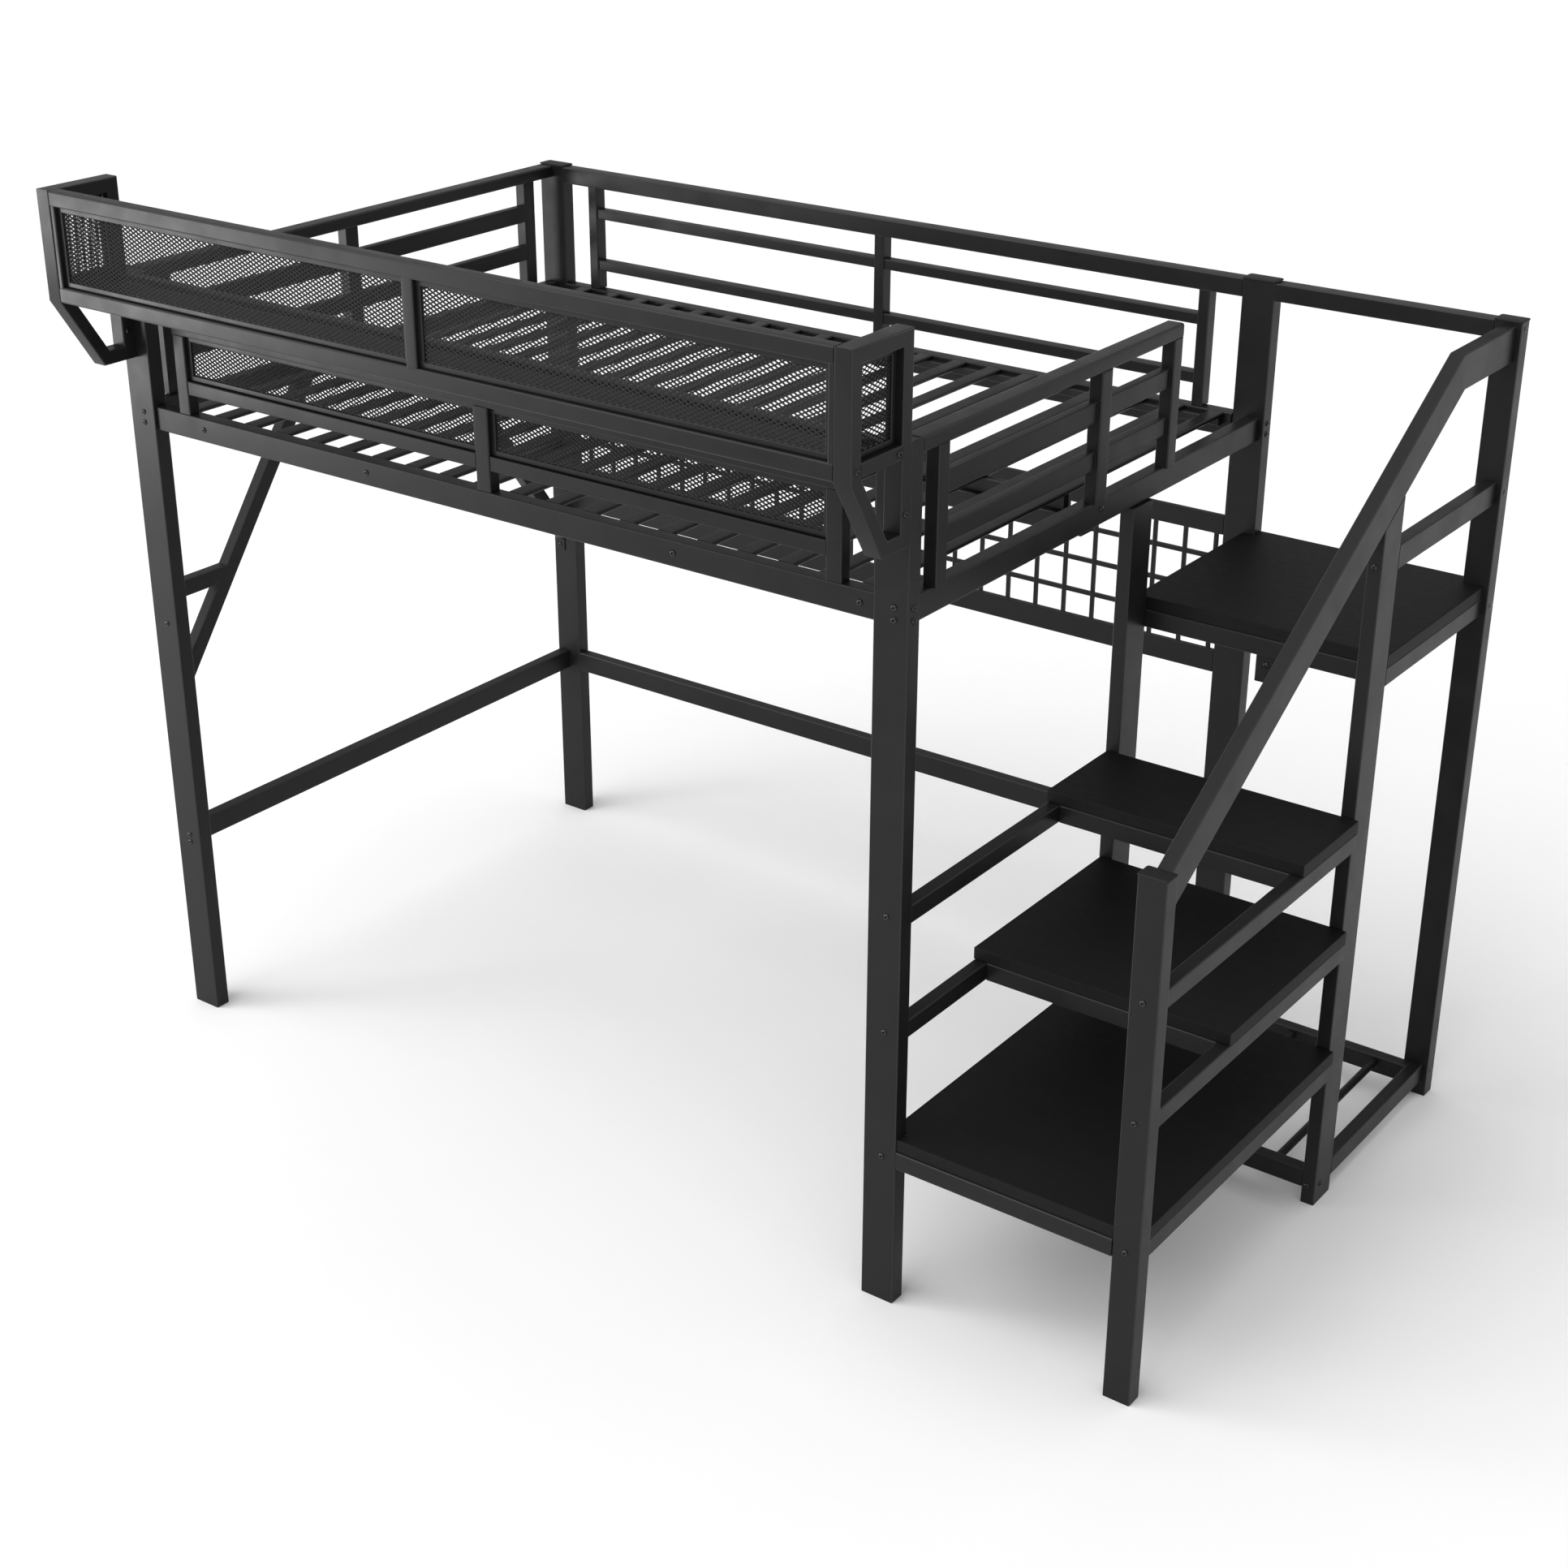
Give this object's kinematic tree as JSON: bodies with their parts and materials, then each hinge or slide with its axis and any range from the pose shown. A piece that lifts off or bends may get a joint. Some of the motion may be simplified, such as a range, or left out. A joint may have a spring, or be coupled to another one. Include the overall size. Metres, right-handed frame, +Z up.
{
  "type": "loft bed with stair",
  "caption": "Black steel-tube loft bed with guard rails, a mesh front basket, a slatted deck, a short boarded stair with landing and handrail, and open desk space beneath.",
  "frame": {"origin": "middle of the footprint on the floor", "axes": "+X along the bed towards the stair, +Y from the basket side to the back, +Z up"},
  "size_m": [2.635, 1.6166, 2.032],
  "materials": {
    "black_powder_coat": "satin powder coat",
    "black_coated_mesh": "satin powder coat",
    "black_board": "matte laminate",
    "black_plastic_cap": "matte"
  },
  "bodies": {
    "root": {"basket_back_rail": "black_powder_coat", "basket_bracket_left": "black_powder_coat", "basket_bracket_right": "black_powder_coat", "basket_floor_mesh": "black_coated_mesh", "basket_front_frame": "black_powder_coat", "basket_mesh_end_left": "black_coated_mesh", "basket_mesh_end_right": "black_coated_mesh", "basket_mesh_front_left": "black_coated_mesh", "basket_mesh_front_right": "black_coated_mesh", "brace_left_back": "black_powder_coat", "brace_left_front": "black_powder_coat", "cap_back_left": "black_plastic_cap", "cap_back_right": "black_plastic_cap", "cap_stair_back": "black_plastic_cap", "cap_stair_front": "black_plastic_cap", "center_rail": "black_powder_coat", "clothes_rod": "black_powder_coat", "end_rail_left": "black_powder_coat", "end_rail_right": "black_powder_coat", "grid_panel": "black_powder_coat", "guard_back": "black_powder_coat", "guard_front_frame": "black_powder_coat", "guard_front_mesh_left": "black_coated_mesh", "guard_front_mesh_right": "black_coated_mesh", "guard_left": "black_powder_coat", "guard_right": "black_powder_coat", "handrail": "black_powder_coat", "landing_board": "black_board", "landing_guard_bar": "black_powder_coat", "landing_rail_back": "black_powder_coat", "landing_rail_front": "black_powder_coat", "landing_rail_outer": "black_powder_coat", "lower_rail_back": "black_powder_coat", "lower_rail_left": "black_powder_coat", "post_back_left": "black_powder_coat", "post_back_right": "black_powder_coat", "post_front_left": "black_powder_coat", "post_front_right": "black_powder_coat", "rack_frame": "black_powder_coat", "side_rail_back": "black_powder_coat", "side_rail_front": "black_powder_coat", "slat_panel_left": "black_powder_coat", "slat_panel_right": "black_powder_coat", "stair_post_back": "black_powder_coat", "stair_post_front": "black_powder_coat", "stair_post_mid_inner": "black_powder_coat", "stair_post_mid_outer": "black_powder_coat", "step_board_1": "black_board", "step_board_2": "black_board", "step_board_3": "black_board", "step_rail_front_1": "black_powder_coat", "step_rail_front_2": "black_powder_coat", "step_rail_front_3": "black_powder_coat", "step_rail_inner_1": "black_powder_coat", "step_rail_inner_2": "black_powder_coat", "step_rail_inner_3": "black_powder_coat", "step_rail_outer_1": "black_powder_coat", "step_rail_outer_2": "black_powder_coat", "step_rail_outer_3": "black_powder_coat", "wing_rail": "black_powder_coat"}
  },
  "joints": []
}
